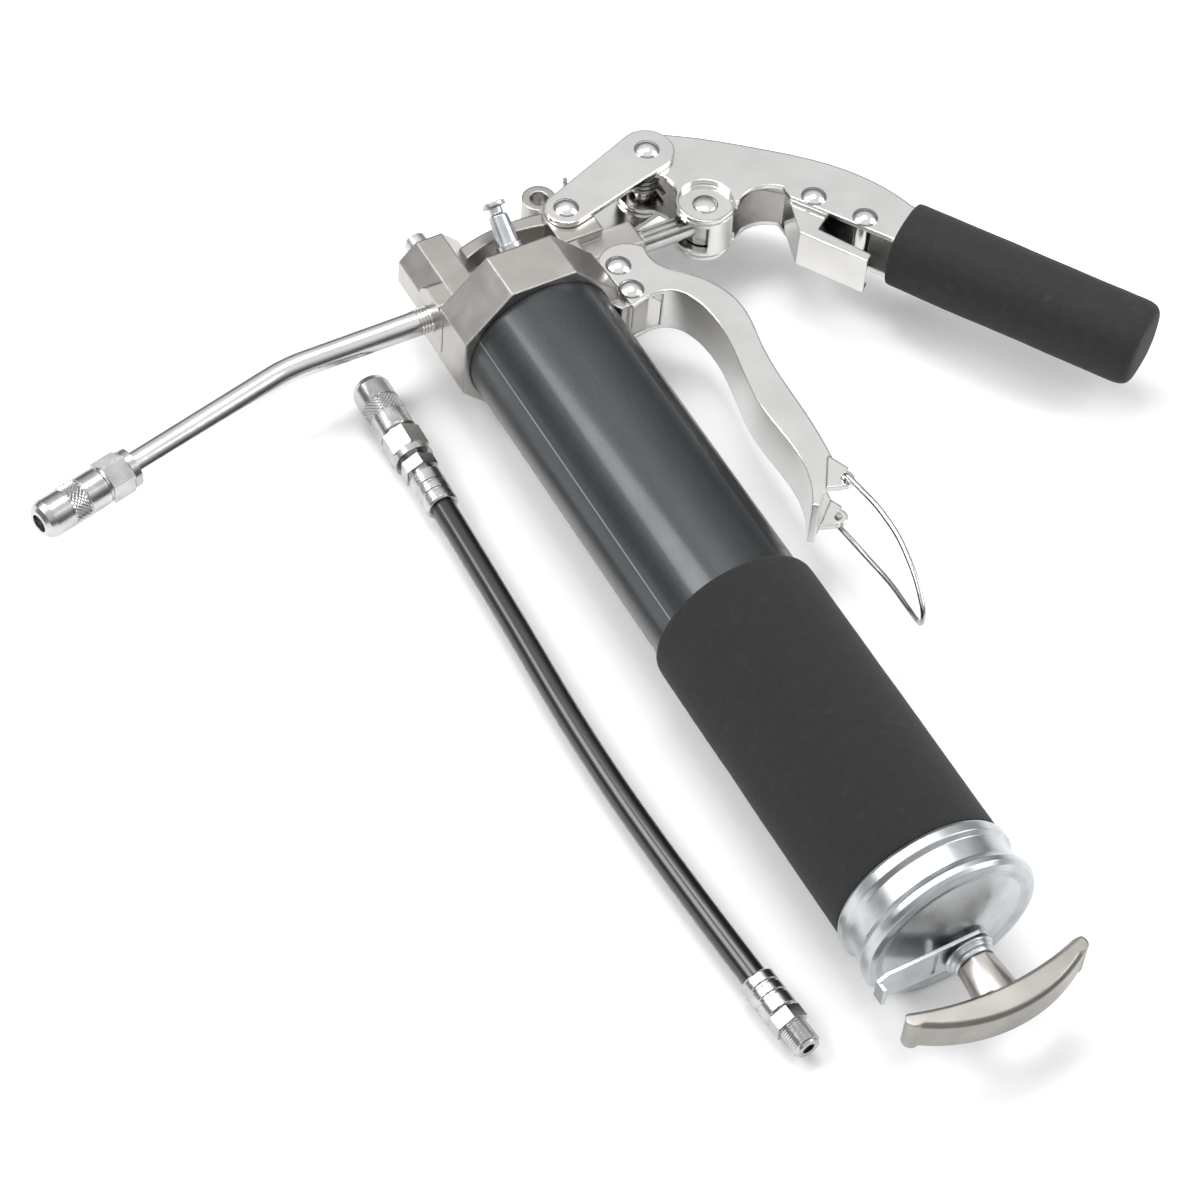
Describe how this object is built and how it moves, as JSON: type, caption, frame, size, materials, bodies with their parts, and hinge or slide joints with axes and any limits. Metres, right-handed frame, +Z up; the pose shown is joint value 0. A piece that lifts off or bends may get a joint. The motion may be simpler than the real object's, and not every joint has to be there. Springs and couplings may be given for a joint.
{
  "type": "grease gun",
  "caption": "Pistol-and-lever grease gun with foam-gripped cartridge barrel, T-handled follower rod, bent steel delivery tube and a spare whip hose lying beside it.",
  "frame": {"origin": "middle of the underside of the gun as it lies on a level surface, measured without the loose spare hose", "axes": "+Y along the barrel from the T-handle to the pump head, +X towards the lever, +Z up along the pivot pins"},
  "size_m": [0.4039, 0.3856, 0.064],
  "materials": {
    "cast_nickel": "satin nickel plated die casting",
    "barrel_enamel": "gunmetal grey metallic enamel",
    "zinc_plate": "bright zinc plate",
    "chrome_plate": "polished chrome plate over pressed steel",
    "steel": "bright ground steel",
    "spring_steel": "drawn spring wire",
    "coupler_steel": "zinc plated, knurled",
    "foam_barrel": "matte charcoal foam",
    "foam_lever": "matte charcoal foam, slightly brown",
    "hose_rubber": "glossy black",
    "seal_rubber": "matte black"
  },
  "bodies": {
    "head": {"head_casting": "cast_nickel", "collar_gasket": "seal_rubber", "outlet_ball": "steel", "outlet_spring": "spring_steel", "plunger_packing": "seal_rubber", "vent_plug": "zinc_plate", "filler_nipple": "zinc_plate", "pistol_handle": "chrome_plate", "pistol_rivets": "chrome_plate", "extension_tube": "chrome_plate", "tube_coupler_nut": "coupler_steel", "tube_coupler_sleeve": "coupler_steel", "tube_coupler_jaws": "coupler_steel", "tube_coupler_seal": "seal_rubber"},
    "links": {"link_plate_near": "chrome_plate", "link_plate_far": "chrome_plate", "lug_rivet": "chrome_plate", "return_spring": "spring_steel"},
    "lever": {"lever_arm": "chrome_plate", "link_rivet": "chrome_plate", "plunger_pin": "chrome_plate", "catch_rivet": "chrome_plate", "lever_rivet": "chrome_plate", "lever_grip": "foam_lever"},
    "plunger": {"plunger": "steel"},
    "catch": {"lever_catch": "chrome_plate", "catch_spring": "spring_steel"},
    "bail": {"wire_bail": "steel"},
    "barrel": {"barrel_tube": "barrel_enamel", "barrel_grip": "foam_barrel", "end_cap": "zinc_plate", "follower_spring": "spring_steel"},
    "latch": {"rod_latch": "zinc_plate"},
    "rod": {"follower_rod": "steel", "follower_plate": "zinc_plate", "follower_seal": "seal_rubber", "rod_collar": "zinc_plate", "t_handle": "cast_nickel"},
    "hose": {"hose_tube": "hose_rubber", "hose_ferrule_head": "coupler_steel", "hose_ferrule_tail": "coupler_steel", "hose_adapter": "coupler_steel", "hose_nipple": "coupler_steel", "hose_coupler_nut": "coupler_steel", "hose_coupler_sleeve": "coupler_steel", "hose_coupler_jaws": "coupler_steel", "hose_coupler_seal": "seal_rubber"}
  },
  "joints": [
    {"name": "lever_hinge", "type": "hinge", "parent": "links", "child": "lever", "pos_m": [0.0679, 0.18226, 0.032], "axis": [0, 0, -1], "range_deg": [0, 30], "stiffness_Nm_per_rad": 0.8, "springref_deg": -14.32, "deforming": ["return_spring"]},
    {"name": "link_swing", "type": "hinge", "parent": "head", "child": "links", "pos_m": [0.0266, 0.16876, 0.032], "axis": [0, 0, 1], "range_deg": [0, 0.6]},
    {"name": "plunger_slide", "type": "slide", "parent": "head", "child": "plunger", "axis": [-1, 0, 0], "range_m": [0, 0.01598]},
    {"name": "catch_hinge", "type": "hinge", "parent": "lever", "child": "catch", "pos_m": [0.1137, 0.13676, 0.032], "axis": [0, 0, -1], "range_deg": [0, 8], "stiffness_Nm_per_rad": 0.1, "springref_deg": -11.46, "deforming": ["catch_spring"]},
    {"name": "bail_hinge", "type": "hinge", "parent": "head", "child": "bail", "pos_m": [0.0534, 0.01426, 0.032], "axis": [0, 0, 1], "range_deg": [-15, 40]},
    {"name": "barrel_unscrew", "type": "hinge", "parent": "head", "child": "barrel", "pos_m": [-0.0066, 0.12476, 0.032], "axis": [0, 1, 0], "range_deg": [0, 1080]},
    {"name": "latch_tilt", "type": "hinge", "parent": "barrel", "child": "latch", "pos_m": [0.0024, -0.16244, 0.032], "axis": [0, 0, -1], "range_deg": [0, 4], "stiffness_Nm_per_rad": 0.3, "springref_deg": -5.73},
    {"name": "rod_slide", "type": "slide", "parent": "barrel", "child": "rod", "axis": [0, -1, 0], "range_m": [0, 0.21], "stiffness_N_per_m": 100, "springref_m": -0.1, "deforming": ["follower_spring"]},
    {"name": "hose_draw", "type": "slide", "parent": "head", "child": "hose", "axis": [0, -1, 0], "range_m": [0, 0.2]}
  ],
  "couplings": [
    {"joint": "link_swing", "follows": "lever_hinge", "ratio": 0.02},
    {"joint": "plunger_slide", "follows": "lever_hinge", "m_per_rad": 0.03048}
  ]
}
